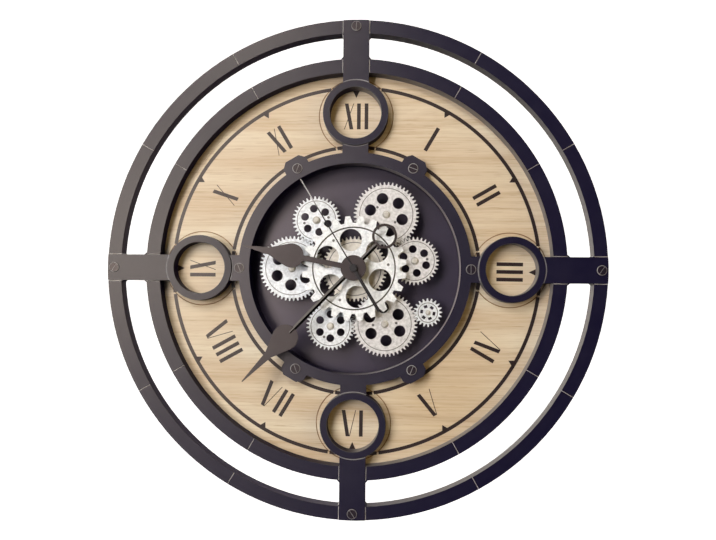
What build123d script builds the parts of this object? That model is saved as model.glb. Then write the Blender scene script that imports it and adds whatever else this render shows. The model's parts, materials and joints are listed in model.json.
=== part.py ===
from build123d import *
import os
from math import asin, cos, degrees, pi, radians, sin

# Wall clock with an open ring frame, an oak dial and a round window of turning gears.
# Millimetres. +Z is up, the dial faces -Y, the clock's axis is x = z = 0 and the wall is the plane y = 0.

os.makedirs("parts", exist_ok=True)

# Frame rings, all cut from one thickness of board, from the gear window outwards
window_radius = 127.0
window_band = 13.0
window_gap = 8.0
medallion_radius = 39.5
medallion_band = 8.5
medallion_gap = 9.5
bezel_band = 16.5
ring_gap = 31.0
outer_band = 16.0
frame_thickness = 15.0
medallion_proud = 2.0

# Bars that tie the rings together, half-lapped into them
spoke_width = 31.0
spoke_proud = 1.0
lap_depth = 7.5
lap_clearance = 0.1
gusset = 2.5

# Lugs on the window ring, between the necks that reach to the medallions
lug_angle = 60.0
lug_width = 31.0
lug_tip_width = 18.0
lug_shoulder = 6.0
lug_reach = 12.6

# Dial board and the plate that carries the gears
dial_thickness = 12.0
dial_inset = 3.0
dial_rim_sides = 48
plate_thickness = 2.0
plate_corner = 12.0

# Sheet pan behind the works, which lies against the wall
cover_depth = 22.0
cover_width = 264.0
cover_corner = 12.0
flange_width = 14.0
cover_sheet = 1.5
keyhole_height = 95.0
keyhole_radius = 5.0
keyhole_slot = 5.0
keyhole_rise = 12.0
access_margin = 2.0

# Slotted screw heads
screw_head_radius = 6.0
screw_head_height = 1.2
screw_slot_width = 1.6
screw_slot_depth = 0.7
screw_sides = 12
spoke_screw_inset = 8.0
window_screw_inset = 1.0
rear_screw_radius = 4.5

# Gear train, sized so that the drive pinion just clears the window
window_clearance = 7.0
large_teeth = 48
small_teeth = 35
pinion_teeth = 20
crown_teeth = 24
crown_radius = 62.4
tooth_share = 0.42
root_widening = 1.3
tip_narrowing = 0.5
crown_tooth_share = 0.48
crown_root_widening = 1.42
crown_tip_narrowing = 0.78
addendum = 0.95
dedendum = 1.25
crown_dedendum = 0.75
large_angles = {"gear_left": 180.0, "gear_upper_right": 60.0, "gear_lower_right": 299.25}
small_parents = {
    "gear_upper_left": "gear_left",
    "gear_right": "gear_upper_right",
    "gear_lower_left": "gear_lower_right",
}
small_turns = {"gear_upper_left": -116.5, "gear_right": -118.0, "gear_lower_left": -116.4}
pinion_turn = 15.4
hole_count = 6
hole_sides = 12
hole_phases = {
    "gear_left": 26.5,
    "gear_upper_right": 43.6,
    "gear_lower_right": 35.5,
    "gear_upper_left": 43.5,
    "gear_right": 40.0,
    "gear_lower_left": 30.0,
}
large_hole_circle = 20.0
large_hole_radius = 6.7
small_hole_circle = 14.5
small_hole_radius = 4.6
crown_hole_circle = 34.0
crown_hole_radius = 13.0
crown_hole_phase = 36.6
crown_hole_sides = 20
crown_tooth_phase = 7.3
pinion_slot_circle = 7.5
pinion_slot_length = 4.4
pinion_slot_width = 3.4
pinion_slot_phase = 50.5
gear_rise = 18.0
gear_thickness = 4.0
crown_gap = 8.0
crown_thickness = 5.0

# Posts, bush and the other things that turning pieces run on
running_clearance = 0.08
end_clearance = 0.2
press_clearance = 0.03
post_radius = 4.0
journal_radius = 2.5
bore_sides = 12
cap_radius = 4.7
cap_height = 2.6
cap_bevel = 1.9
cap_sides = 12
drive_cap_radius = 3.1
drive_cap_bevel = 1.3
bush_radius = 5.0
nut_radius = 9.0
sleeve_radius = 10.0
sleeve_flange_radius = 15.0
sleeve_front = 1.0
clip_thickness = 1.8
bush_front = 0.5

# Arbors of the hands, one inside the other
second_arbor_radius = 0.75
minute_wall = 0.75
hour_wall = 0.9
arbor_step = 4.0
arbor_depth = 14.0

# Hands: lengths along the hand from the axis, and the time that they show
hand_thickness = 1.4
hour_hand_gap = 2.0
minute_hand_gap = 3.2
second_hand_gap = 1.5
hour_angle = 281.1
hour_hub_radius = 11.0
hour_length = 134.0
hour_stem_width = 6.4
hour_spade_center = 75.0
hour_spade_radius = 14.4
hour_waist = 101.0
minute_angle = 224.0
minute_hub_radius = 15.0
minute_hub_height = 2.4
minute_length = 187.0
minute_stem_width = 5.2
minute_stem_edge = 0.4
minute_spade_center = 114.0
minute_spade_radius = 15.2
minute_waist = 142.0
minute_ring_center = 52.0
minute_ring_radius = 14.7
minute_ring_band = 3.0
minute_ring_sides = 32
waist_width = 9.0
tip_width = 1.2
second_angle = 328.8
second_length = 121.0
second_needle_width = 1.6
second_tip_width = 1.1
second_tail_length = 59.0
second_tail_width = 3.8
second_boss_radius = 4.5
second_boss_height = 2.8
second_boss_sides = 20

# Quartz movement with its cell and setting knob
movement_wall = 2.0
movement_corner = 3.0
case_back_gap = 4.5
cell_radius = 7.25
cell_length = 49.5
cell_sides = 24
cell_nub_radius = 2.75
cell_nub_height = 1.0
cell_clearance = 0.25
contact_thickness = 0.6
bay_floor = 2.0
movement_cell_height = -18.0
knob_height = 17.0
knob_radius = 7.5
knob_thickness = 3.0
knob_stem_radius = 2.0
knob_stem_length = 5.0
knob_sides = 12
knob_hole_margin = 2.5

# Battery motor that turns the drive pinion
drive_wall = 4.0
drive_inner = 50.0
drive_shaft_margin = 9.0
drive_shaft_radius = 2.5
drive_shaft_grip = 12.0
drive_end_wall = 2.7
drive_cell_gap = 1.1

# Levels, as distances from the wall
plate_back = cover_depth
plate_front = plate_back + plate_thickness
dial_front = plate_front + dial_thickness
frame_front = dial_front + frame_thickness
gear_back = plate_front + gear_rise
gear_front = gear_back + gear_thickness
crown_back = gear_front + crown_gap
crown_front = crown_back + crown_thickness
sleeve_end = crown_front + sleeve_front
clip_back = sleeve_end + end_clearance
clip_front = clip_back + clip_thickness
bush_end = clip_front + bush_front
hour_back = bush_end + hour_hand_gap
hour_front = hour_back + hand_thickness
minute_back = hour_front + minute_hand_gap
minute_front = minute_back + minute_hub_height
second_back = minute_front + second_hand_gap
case_back = case_back_gap

# Radii that follow from the rest
window_outside = window_radius + window_band
medallion_pitch = window_outside + window_gap + medallion_radius
medallion_inside = medallion_radius - medallion_band
bezel_inside = medallion_pitch + medallion_radius + medallion_gap
bezel_radius = bezel_inside + bezel_band
outer_inside = bezel_radius + ring_gap
outer_radius = outer_inside + outer_band
plate_width = cover_width + 2 * flange_width
minute_bore = second_arbor_radius + running_clearance
minute_arbor_radius = minute_bore + minute_wall
hour_bore = minute_arbor_radius + running_clearance
hour_tube_radius = hour_bore + hour_wall
bush_bore = hour_tube_radius + running_clearance


def face_at(level, x=0.0, z=0.0, turn=0.0):
    """Plane parallel to the wall at a level, facing the viewer and turned counter-clockwise."""
    across = (cos(radians(turn)), 0, sin(radians(turn)))
    return Plane(origin=(x, -level, z), x_dir=across, z_dir=(0, -1, 0))


def hand_plane(level, angle):
    """Plane at a level whose second axis points along a hand, clockwise from twelve."""
    return face_at(level, turn=-angle)


def step_from(start, distance, angle):
    """The point at a distance and angle from another one."""
    return (start[0] + distance * cos(radians(angle)), start[1] + distance * sin(radians(angle)))


# Gear centres, first in modules and then in millimetres
large_step = large_teeth
small_step = (large_teeth + small_teeth) / 2
pinion_step = (large_teeth + pinion_teeth) / 2
pinion_parent = step_from((0, 0), large_step, large_angles["gear_lower_right"])
pinion_place = step_from(pinion_parent, pinion_step, pinion_turn)
train_reach = abs(complex(*pinion_place)) + pinion_teeth / 2 + addendum
tooth_module = (window_radius - window_clearance) / train_reach
centers = {name: step_from((0, 0), tooth_module * large_step, angle) for name, angle in large_angles.items()}
for name, parent in small_parents.items():
    small_angle = large_angles[parent] + small_turns[name]
    centers[name] = step_from(centers[parent], tooth_module * small_step, small_angle)
pinion_center = (tooth_module * pinion_place[0], tooth_module * pinion_place[1])


def meshed_phase(teeth, driver_teeth, driver_phase, line):
    """Angle of a tooth of a gear that meshes with a driver, on a line from the driver to it."""
    return line + 180 - (driver_teeth / teeth) * (driver_phase - line) + 180 / teeth


phases = {name: meshed_phase(large_teeth, large_teeth, 0, angle) for name, angle in large_angles.items()}
for name, parent in small_parents.items():
    line = large_angles[parent] + small_turns[name]
    phases[name] = meshed_phase(small_teeth, large_teeth, phases[parent], line)
pinion_phase = meshed_phase(pinion_teeth, large_teeth, phases["gear_lower_right"], pinion_turn)


def gear_outline(
    teeth, module, phase, share=tooth_share, widening=root_widening, narrowing=tip_narrowing, depth=dedendum
):
    """Corners of a straight-flanked gear: foot, tip, tip and foot of each tooth."""
    pitch_radius = module * teeth / 2
    half_tooth = share * pi * module / 2
    foot = pitch_radius - depth * module
    tip = pitch_radius + addendum * module
    corners = []
    for tooth in range(teeth):
        middle = radians(phase) + 2 * pi * tooth / teeth
        for radius, half_width in (
            (foot, -half_tooth * widening),
            (tip, -half_tooth * narrowing),
            (tip, half_tooth * narrowing),
            (foot, half_tooth * widening),
        ):
            angle = middle + half_width / radius
            corners.append((radius * cos(angle), radius * sin(angle)))
    return corners


def lay_gear(corners, hole_circle, hole_radius, sides, hole_phase):
    """Draws a gear from its corners, with its ring of lightening holes, in the open sketch."""
    with BuildLine() as outline:
        Polyline(*corners, close=True)
    make_face(outline.edges())
    with PolarLocations(hole_circle, hole_count, start_angle=hole_phase):
        RegularPolygon(hole_radius, sides, mode=Mode.SUBTRACT)


def lay_bore(radius):
    """Cuts a many-sided bore that just clears a round or many-sided shaft out of the open sketch."""
    RegularPolygon(radius, bore_sides, False, mode=Mode.SUBTRACT)


def lay_spade(center, radius, waist, length):
    """Draws a hand's spade, round at its base and drawn out to a slim tip, in the open sketch."""
    with Locations((0, center)):
        Circle(radius)
    with Locations((0, waist)):
        Circle(waist_width / 2)
    make_hull()
    half_waist = waist_width / 2
    half_tip = tip_width / 2
    Polygon((-half_waist, waist), (half_waist, waist), (half_tip, length), (-half_tip, length), align=None)


# Large open ring, notched for the bars
with BuildPart() as outer_ring:
    with BuildSketch(face_at(dial_front)):
        Circle(outer_radius)
        Circle(outer_inside, mode=Mode.SUBTRACT)
    extrude(amount=frame_thickness)
    with BuildSketch(face_at(frame_front)):
        Rectangle(2 * outer_radius, spoke_width + 2 * lap_clearance)
        Rectangle(spoke_width + 2 * lap_clearance, 2 * outer_radius)
    extrude(amount=-lap_depth, mode=Mode.SUBTRACT)
outer_ring.part.label = "outer_ring"
export_step(outer_ring.part, "parts/outer_ring.step")

# Ring round the dial, notched in the same way
with BuildPart() as bezel_ring:
    with BuildSketch(face_at(dial_front)):
        Circle(bezel_radius)
        Circle(bezel_inside, mode=Mode.SUBTRACT)
    extrude(amount=frame_thickness)
    with BuildSketch(face_at(frame_front)):
        Rectangle(2 * bezel_radius, spoke_width + 2 * lap_clearance)
        Rectangle(spoke_width + 2 * lap_clearance, 2 * bezel_radius)
    extrude(amount=-lap_depth, mode=Mode.SUBTRACT)
bezel_ring.part.label = "bezel_ring"
export_step(bezel_ring.part, "parts/bezel_ring.step")

# Four bars, full depth between the rings and over the dial, half depth where they cross the rings
with BuildPart() as spokes:
    with BuildSketch(face_at(dial_front)):
        Circle(outer_radius)
        Rectangle(2 * outer_radius, spoke_width, mode=Mode.INTERSECT)
        with BuildSketch(mode=Mode.PRIVATE) as upright:
            Circle(outer_radius)
            Rectangle(spoke_width, 2 * outer_radius, mode=Mode.INTERSECT)
        add(upright.sketch)
        with PolarLocations(medallion_pitch, 4):
            Circle(medallion_radius, mode=Mode.SUBTRACT)
        Circle(medallion_pitch, mode=Mode.SUBTRACT)
    extrude(amount=frame_thickness + spoke_proud)
    for inside, outside in ((outer_inside, outer_radius), (bezel_inside, bezel_radius)):
        with BuildSketch(face_at(dial_front)):
            Circle(outside + lap_clearance)
            Circle(inside - lap_clearance, mode=Mode.SUBTRACT)
        extrude(amount=frame_thickness - lap_depth, mode=Mode.SUBTRACT)
    with BuildSketch(face_at(dial_front)):
        with PolarLocations(0, 4):
            for side in (-1, 1):
                for ring, reach in ((outer_inside, -gusset), (bezel_radius, gusset)):
                    Polygon(
                        (ring - reach, side * spoke_width / 2),
                        (ring + reach, side * spoke_width / 2),
                        (ring, side * (spoke_width / 2 + gusset)),
                        (ring - reach, side * (spoke_width / 2 + gusset)),
                        align=None,
                    )
        Circle(bezel_radius + lap_clearance, mode=Mode.SUBTRACT)
        Circle(outer_inside - lap_clearance, mode=Mode.INTERSECT)
    extrude(amount=frame_thickness)
spokes.part.label = "spokes"
export_step(spokes.part, "parts/spokes.step")

# Four numeral rings, which stand on the dial
with BuildPart() as medallions:
    with BuildSketch(face_at(dial_front)):
        with PolarLocations(medallion_pitch, 4):
            Circle(medallion_radius)
            Circle(medallion_inside, mode=Mode.SUBTRACT)
    extrude(amount=frame_thickness + medallion_proud)
medallions.part.label = "medallions"
export_step(medallions.part, "parts/medallions.step")

# Ring round the gear window, with four lugs and four necks that end at the medallions
with BuildPart() as window_ring:
    with BuildSketch(face_at(dial_front)):
        Circle(window_outside)
        Rectangle(2 * medallion_pitch, spoke_width)
        Rectangle(spoke_width, 2 * medallion_pitch)
        with PolarLocations(0, 2, start_angle=lug_angle, angular_range=180 - 2 * lug_angle, endpoint=True):
            for side in (-1, 1):
                Polygon(
                    (side * (window_outside - window_band / 2), -lug_width / 2),
                    (side * (window_outside + lug_shoulder), -lug_width / 2),
                    (side * (window_outside + lug_reach), -lug_tip_width / 2),
                    (side * (window_outside + lug_reach), lug_tip_width / 2),
                    (side * (window_outside + lug_shoulder), lug_width / 2),
                    (side * (window_outside - window_band / 2), lug_width / 2),
                    align=None,
                )
        with PolarLocations(medallion_pitch, 4):
            Circle(medallion_radius, mode=Mode.SUBTRACT)
        with BuildSketch(mode=Mode.PRIVATE) as inner_reach:
            Circle(medallion_pitch - medallion_inside)
        add(inner_reach.sketch, mode=Mode.INTERSECT)
        Circle(window_radius, mode=Mode.SUBTRACT)
    extrude(amount=frame_thickness)
window_ring.part.label = "window_ring"
export_step(window_ring.part, "parts/window_ring.step")

# Oak board behind the rings, with the round opening for the gears
with BuildPart() as dial_board:
    with BuildSketch(face_at(plate_front)):
        RegularPolygon(bezel_radius - dial_inset, dial_rim_sides)
        Circle(window_radius, mode=Mode.SUBTRACT)
    extrude(amount=dial_thickness)
dial_board.part.label = "dial_board"
export_step(dial_board.part, "parts/dial_board.step")

# Plate that closes the window from behind and carries the posts, the bush and the motor
with BuildPart() as gear_plate:
    with BuildSketch(face_at(plate_back)) as plate_blank:
        Rectangle(plate_width, plate_width)
        chamfer(plate_blank.vertices(), plate_corner)
        lay_bore(bush_radius + press_clearance)
        with Locations(pinion_center):
            lay_bore(drive_shaft_radius + running_clearance)
    extrude(amount=plate_thickness)
gear_plate.part.label = "gear_plate"
export_step(gear_plate.part, "parts/gear_plate.step")


def lay_screws(places, level, radius):
    """Makes slotted screw heads at (x, z, slot angle) places in the open part."""
    for x, z, slot_angle in places:
        with BuildSketch(face_at(level, x, z, slot_angle)) as head:
            RegularPolygon(radius, screw_sides)
        extrude(head.sketch, amount=screw_head_height)
        with BuildSketch(face_at(level + screw_head_height, x, z, slot_angle)) as slot:
            Rectangle(2 * radius, screw_slot_width)
        extrude(slot.sketch, amount=-screw_slot_depth, mode=Mode.SUBTRACT)


# Screws at the outer ends of the bars
spoke_screw_circle = outer_radius - spoke_screw_inset
spoke_slots = {0: 55, 90: 86, 180: 60, 270: 125}
with BuildPart() as spoke_screws:
    places = [(*step_from((0, 0), spoke_screw_circle, angle), slot) for angle, slot in spoke_slots.items()]
    lay_screws(places, frame_front + spoke_proud, screw_head_radius)
spoke_screws.part.label = "spoke_screws"
export_step(spoke_screws.part, "parts/spoke_screws.step")

# Screws in the lugs and the side necks of the window ring
window_screw_circle = window_outside - window_screw_inset
window_slots = {0: 90, 60: 160, 120: 70, 180: 112, 240: 110, 300: 68}
with BuildPart() as window_screws:
    places = [(*step_from((0, 0), window_screw_circle, angle), slot) for angle, slot in window_slots.items()]
    lay_screws(places, frame_front, screw_head_radius)
window_screws.part.label = "window_screws"
export_step(window_screws.part, "parts/window_screws.step")

# Sheet pan with a flange, a keyhole for the wall screw and openings over the cells and the knob
cell_bay_length = cell_length + cell_nub_height + 2 * contact_thickness + cell_clearance
cell_bay_width = 2 * (cell_radius + cell_clearance)
drive_angle = degrees(asin(pinion_center[1] / abs(complex(*pinion_center))))
drive_outer = abs(complex(*pinion_center)) + drive_shaft_margin
drive_cell_pitch = 2 * cell_radius + drive_cell_gap
drive_bay_width = cell_bay_width + drive_cell_pitch
drive_cells_middle = drive_inner + drive_end_wall + drive_bay_width / 2
with BuildPart() as rear_cover:
    with BuildSketch(face_at(0)) as pan_outline:
        Rectangle(cover_width, cover_width)
        chamfer(pan_outline.vertices(), cover_corner)
    extrude(amount=cover_depth)
    with BuildSketch(face_at(plate_back - cover_sheet)) as flange_outline:
        Rectangle(plate_width, plate_width)
        chamfer(flange_outline.vertices(), plate_corner)
    extrude(amount=cover_sheet)
    with BuildSketch(face_at(cover_sheet)) as pan_inside:
        Rectangle(cover_width, cover_width)
        chamfer(pan_inside.vertices(), cover_corner)
        offset(amount=-cover_sheet, kind=Kind.INTERSECTION, mode=Mode.REPLACE)
    extrude(amount=cover_depth, mode=Mode.SUBTRACT)
    with BuildSketch(face_at(0)):
        with Locations((0, keyhole_height)):
            Circle(keyhole_radius)
        with Locations((0, keyhole_height + keyhole_rise / 2)):
            SlotCenterToCenter(keyhole_rise, keyhole_slot, rotation=90)
        with Locations((0, knob_height)):
            RegularPolygon(knob_radius + knob_hole_margin, knob_sides)
        with Locations((0, movement_cell_height)):
            Rectangle(cell_bay_length + 2 * access_margin, cell_bay_width + 2 * access_margin)
        with Locations(step_from((0, 0), drive_cells_middle, drive_angle)):
            Rectangle(
                drive_bay_width + 2 * access_margin,
                cell_bay_length + 2 * access_margin,
                rotation=drive_angle,
            )
    extrude(amount=cover_sheet, mode=Mode.SUBTRACT)
rear_cover.part.label = "rear_cover"
export_step(rear_cover.part, "parts/rear_cover.step")

# Screws at the corners of the pan's flange
rear_screw_offset = (cover_width + flange_width) / 2
rear_level = plate_back - cover_sheet - screw_head_height
with BuildPart() as rear_screws:
    for x in (-rear_screw_offset, rear_screw_offset):
        for z in (-rear_screw_offset, rear_screw_offset):
            with BuildSketch(face_at(rear_level, x, z)):
                RegularPolygon(rear_screw_radius, screw_sides)
            extrude(amount=screw_head_height)
            with BuildSketch(face_at(rear_level, x, z, lug_angle)):
                Rectangle(2 * rear_screw_radius, screw_slot_width)
            extrude(amount=screw_slot_depth, mode=Mode.SUBTRACT)
rear_screws.part.label = "rear_screws"
export_step(rear_screws.part, "parts/rear_screws.step")

# Six-sided posts with a slim journal for each idle gear
with BuildPart() as gear_posts:
    for x, z in centers.values():
        with BuildSketch(face_at(plate_front, x, z)):
            RegularPolygon(post_radius, 6)
        extrude(amount=gear_rise - end_clearance)
        with BuildSketch(face_at(gear_back - end_clearance, x, z)):
            RegularPolygon(journal_radius, bore_sides)
        extrude(amount=gear_thickness + 2 * end_clearance)
gear_posts.part.label = "gear_posts"
export_step(gear_posts.part, "parts/gear_posts.step")

# Domed caps on the ends of the posts
with BuildPart() as post_caps:
    for x, z in centers.values():
        with BuildSketch(face_at(gear_front + end_clearance, x, z)):
            RegularPolygon(cap_radius, cap_sides)
        extrude(amount=cap_height)
    chamfer(post_caps.faces().sort_by(Axis.Y)[: len(centers)].edges(), cap_bevel)
post_caps.part.label = "post_caps"
export_step(post_caps.part, "parts/post_caps.step")

# Fixed bush of the movement, through the plate to just behind the hands
with BuildPart() as center_bush:
    with BuildSketch(face_at(plate_back)):
        RegularPolygon(bush_radius, bore_sides)
        lay_bore(bush_bore)
    extrude(amount=bush_end - plate_back)
center_bush.part.label = "center_bush"
export_step(center_bush.part, "parts/center_bush.step")

# Long nut that clamps the movement to the plate and carries the centre wheel's end
with BuildPart() as bush_nut:
    with BuildSketch(face_at(plate_front)):
        RegularPolygon(nut_radius, 6)
        lay_bore(bush_radius + press_clearance)
    extrude(amount=gear_rise - end_clearance)
bush_nut.part.label = "bush_nut"
export_step(bush_nut.part, "parts/bush_nut.step")

# Thin nut that keeps the centre wheel on the bush
with BuildPart() as wheel_clip:
    with BuildSketch(face_at(clip_back)):
        RegularPolygon(nut_radius, 6)
        lay_bore(bush_radius + press_clearance)
    extrude(amount=clip_thickness)
wheel_clip.part.label = "wheel_clip"
export_step(wheel_clip.part, "parts/wheel_clip.step")

# Six-sided hub of the centre wheel, with a flange between its two gears
with BuildPart() as center_sleeve:
    with BuildSketch(face_at(gear_back)):
        RegularPolygon(sleeve_radius, 6)
        lay_bore(bush_radius + running_clearance)
    extrude(amount=sleeve_end - gear_back)
    with BuildSketch(face_at(gear_front)):
        RegularPolygon(sleeve_flange_radius, 6)
        lay_bore(bush_radius + running_clearance)
    extrude(amount=crown_gap)
center_sleeve.part.label = "center_sleeve"
export_step(center_sleeve.part, "parts/center_sleeve.step")

# Fine gear at the back of the centre wheel
with BuildPart() as center_gear:
    with BuildSketch(face_at(gear_back)):
        with BuildLine():
            Polyline(*gear_outline(large_teeth, tooth_module, 0), close=True)
        make_face()
        RegularPolygon(sleeve_radius + press_clearance, 6, mode=Mode.SUBTRACT)
    extrude(amount=gear_thickness)
center_gear.part.label = "center_gear"
export_step(center_gear.part, "parts/center_gear.step")

# Coarse gear at the front of the centre wheel
crown_module = crown_radius / (crown_teeth / 2 + addendum)
crown_corners = gear_outline(
    crown_teeth,
    crown_module,
    crown_tooth_phase,
    crown_tooth_share,
    crown_root_widening,
    crown_tip_narrowing,
    crown_dedendum,
)
with BuildPart() as crown_gear:
    with BuildSketch(face_at(crown_back)):
        lay_gear(crown_corners, crown_hole_circle, crown_hole_radius, crown_hole_sides, crown_hole_phase)
        RegularPolygon(sleeve_radius + press_clearance, 6, mode=Mode.SUBTRACT)
    extrude(amount=crown_thickness)
crown_gear.part.label = "crown_gear"
export_step(crown_gear.part, "parts/crown_gear.step")

# Six idle gears, each on its own post
for name, (x, z) in centers.items():
    is_large = name in large_angles
    with BuildPart() as idle_gear:
        with BuildSketch(face_at(gear_back, x, z)):
            lay_gear(
                gear_outline(large_teeth if is_large else small_teeth, tooth_module, phases[name]),
                large_hole_circle if is_large else small_hole_circle,
                large_hole_radius if is_large else small_hole_radius,
                hole_sides,
                hole_phases[name],
            )
            lay_bore(journal_radius + running_clearance)
        extrude(amount=gear_thickness)
    idle_gear.part.label = name
    export_step(idle_gear.part, f"parts/{name}.step")

# Small pinion that drives the train
with BuildPart() as drive_pinion:
    with BuildSketch(face_at(gear_back, *pinion_center)):
        with BuildLine():
            Polyline(*gear_outline(pinion_teeth, tooth_module, pinion_phase), close=True)
        make_face()
        with PolarLocations(pinion_slot_circle, hole_count, start_angle=pinion_slot_phase):
            Rectangle(pinion_slot_width, pinion_slot_length, mode=Mode.SUBTRACT)
        lay_bore(drive_shaft_radius + press_clearance)
    extrude(amount=gear_thickness)
drive_pinion.part.label = "drive_pinion"
export_step(drive_pinion.part, "parts/drive_pinion.step")

# Motor shaft through the plate, with a domed end in front of the pinion
shaft_back = plate_back - drive_shaft_grip
with BuildPart() as drive_shaft:
    with BuildSketch(face_at(gear_front + press_clearance, *pinion_center)):
        RegularPolygon(drive_cap_radius, cap_sides)
    extrude(amount=cap_height)
    chamfer(drive_shaft.faces().sort_by(Axis.Y)[0].edges(), drive_cap_bevel)
    with BuildSketch(face_at(shaft_back, *pinion_center)):
        RegularPolygon(drive_shaft_radius, bore_sides)
    extrude(amount=gear_front + end_clearance - shaft_back)
drive_shaft.part.label = "drive_shaft"
export_step(drive_shaft.part, "parts/drive_shaft.step")

# Hour hand with its spade, on the outermost turning tube
with BuildPart() as hour_hand:
    with BuildSketch(hand_plane(hour_back, hour_angle)):
        lay_spade(hour_spade_center, hour_spade_radius, hour_waist, hour_length)
        with Locations((0, hour_spade_center / 2)):
            Rectangle(hour_stem_width, hour_spade_center)
        Circle(hour_hub_radius)
        lay_bore(hour_tube_radius + press_clearance)
    extrude(amount=hand_thickness)
hour_hand.part.label = "hour_hand"
export_step(hour_hand.part, "parts/hour_hand.step")

hour_tube_back = plate_back - arbor_depth + 2 * arbor_step
with BuildPart() as hour_tube:
    with BuildSketch(face_at(hour_tube_back)):
        RegularPolygon(hour_tube_radius, bore_sides)
        lay_bore(hour_bore)
    extrude(amount=hour_front + end_clearance - hour_tube_back)
hour_tube.part.label = "hour_tube"
export_step(hour_tube.part, "parts/hour_tube.step")

# Minute hand: a ridged stem with a spade in front and a ring on its tail
minute_stem_start = minute_ring_band / 2 + minute_ring_center - minute_ring_radius
minute_stem_end = minute_spade_center - minute_spade_radius / 2
minute_way = Vector(sin(radians(minute_angle)), 0, cos(radians(minute_angle)))
minute_section = Plane(
    origin=Vector(0, -minute_back, 0) - minute_way * minute_stem_start,
    x_dir=(-cos(radians(minute_angle)), 0, sin(radians(minute_angle))),
    z_dir=minute_way,
)
with BuildPart() as minute_hand:
    with BuildSketch(hand_plane(minute_back, minute_angle)):
        lay_spade(minute_spade_center, minute_spade_radius, minute_waist, minute_length)
        with Locations((0, -minute_ring_center)):
            RegularPolygon(minute_ring_radius, minute_ring_sides)
            RegularPolygon(minute_ring_radius - minute_ring_band, minute_ring_sides, mode=Mode.SUBTRACT)
    extrude(amount=hand_thickness)
    with BuildSketch(minute_section):
        Polygon(
            (-minute_stem_width / 2, 0),
            (minute_stem_width / 2, 0),
            (minute_stem_width / 2, minute_stem_edge),
            (0, minute_hub_height),
            (-minute_stem_width / 2, minute_stem_edge),
            align=None,
        )
    extrude(amount=minute_stem_start + minute_stem_end)
    with BuildSketch(hand_plane(minute_back, minute_angle)):
        Circle(minute_hub_radius)
    extrude(amount=minute_hub_height)
    with BuildSketch(hand_plane(minute_back, minute_angle)):
        RegularPolygon(minute_arbor_radius + press_clearance, bore_sides, False)
    extrude(amount=minute_hub_height, mode=Mode.SUBTRACT)
minute_hand.part.label = "minute_hand"
export_step(minute_hand.part, "parts/minute_hand.step")

minute_arbor_back = hour_tube_back - arbor_step
with BuildPart() as minute_arbor:
    with BuildSketch(face_at(minute_arbor_back)):
        RegularPolygon(minute_arbor_radius, bore_sides)
        lay_bore(minute_bore)
    extrude(amount=minute_front + end_clearance - minute_arbor_back)
minute_arbor.part.label = "minute_arbor"
export_step(minute_arbor.part, "parts/minute_arbor.step")

# Second hand: a needle with a broad tail, under a small boss
with BuildPart() as second_hand:
    with BuildSketch(hand_plane(second_back, second_angle)):
        Polygon(
            (-second_needle_width / 2, 0),
            (second_needle_width / 2, 0),
            (second_tip_width / 2, second_length),
            (-second_tip_width / 2, second_length),
            align=None,
        )
        with Locations((0, -second_tail_length / 2)):
            Rectangle(second_tail_width, second_tail_length)
    extrude(amount=hand_thickness / 2)
    with BuildSketch(hand_plane(second_back, second_angle)):
        RegularPolygon(second_boss_radius, second_boss_sides)
    extrude(amount=second_boss_height)
    with BuildSketch(hand_plane(second_back, second_angle)):
        RegularPolygon(second_arbor_radius + press_clearance, bore_sides, False)
    extrude(amount=second_boss_height / 2, mode=Mode.SUBTRACT)
second_hand.part.label = "second_hand"
export_step(second_hand.part, "parts/second_hand.step")

second_arbor_back = minute_arbor_back - arbor_step
with BuildPart() as second_arbor:
    with BuildSketch(face_at(second_arbor_back)):
        RegularPolygon(second_arbor_radius, bore_sides)
    extrude(amount=second_back + second_boss_height / 2 - second_arbor_back)
second_arbor.part.label = "second_arbor"
export_step(second_arbor.part, "parts/second_arbor.step")

# Movement case with an open cell bay and bores for the arbors and the knob's stem
bay_depth = plate_back - bay_floor - case_back
movement_width = cell_bay_length + 2 * movement_wall
with BuildPart() as movement_case:
    with BuildSketch(face_at(case_back)) as movement_outline:
        Rectangle(movement_width, movement_width)
        chamfer(movement_outline.vertices(), movement_corner)
    extrude(amount=plate_back - case_back)
    with BuildSketch(face_at(case_back)):
        with Locations((0, movement_cell_height)):
            Rectangle(cell_bay_length, cell_bay_width)
    extrude(amount=bay_depth, mode=Mode.SUBTRACT)
    with BuildSketch(face_at(case_back)):
        with Locations((0, knob_height)):
            RegularPolygon(knob_stem_radius + running_clearance, bore_sides, False)
    extrude(amount=knob_stem_length + end_clearance, mode=Mode.SUBTRACT)
    with BuildSketch(face_at(plate_back)):
        RegularPolygon(bush_bore, bore_sides, False)
    extrude(amount=second_arbor_back - plate_back - end_clearance, mode=Mode.SUBTRACT)
movement_case.part.label = "movement_case"
export_step(movement_case.part, "parts/movement_case.step")


def lay_cell(level, x, z, turn):
    """Makes a cell, with its nub, that lies across a turned direction in the open part."""
    start = -(cell_length + cell_nub_height) / 2
    along = (cos(radians(turn)), 0, sin(radians(turn)))
    end = (x + start * along[0], -level, z + start * along[2])
    seat = Plane(origin=end, x_dir=(0, 1, 0), z_dir=along)
    with BuildSketch(seat) as can:
        RegularPolygon(cell_radius, cell_sides)
    extrude(can.sketch, amount=cell_length)
    with BuildSketch(seat.offset(cell_length)) as nub:
        RegularPolygon(cell_nub_radius, 6)
    extrude(nub.sketch, amount=cell_nub_height)


def lay_contacts(level, x, z, turn):
    """Makes the two contact plates at the ends of a cell in the open part."""
    reach = (cell_bay_length - contact_thickness) / 2
    for side in (-1, 1):
        middle = step_from((x, z), side * reach, turn)
        with BuildSketch(face_at(level - cell_radius, *middle, turn)) as strip:
            Rectangle(contact_thickness, 2 * cell_radius)
        extrude(strip.sketch, amount=2 * cell_radius)


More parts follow.
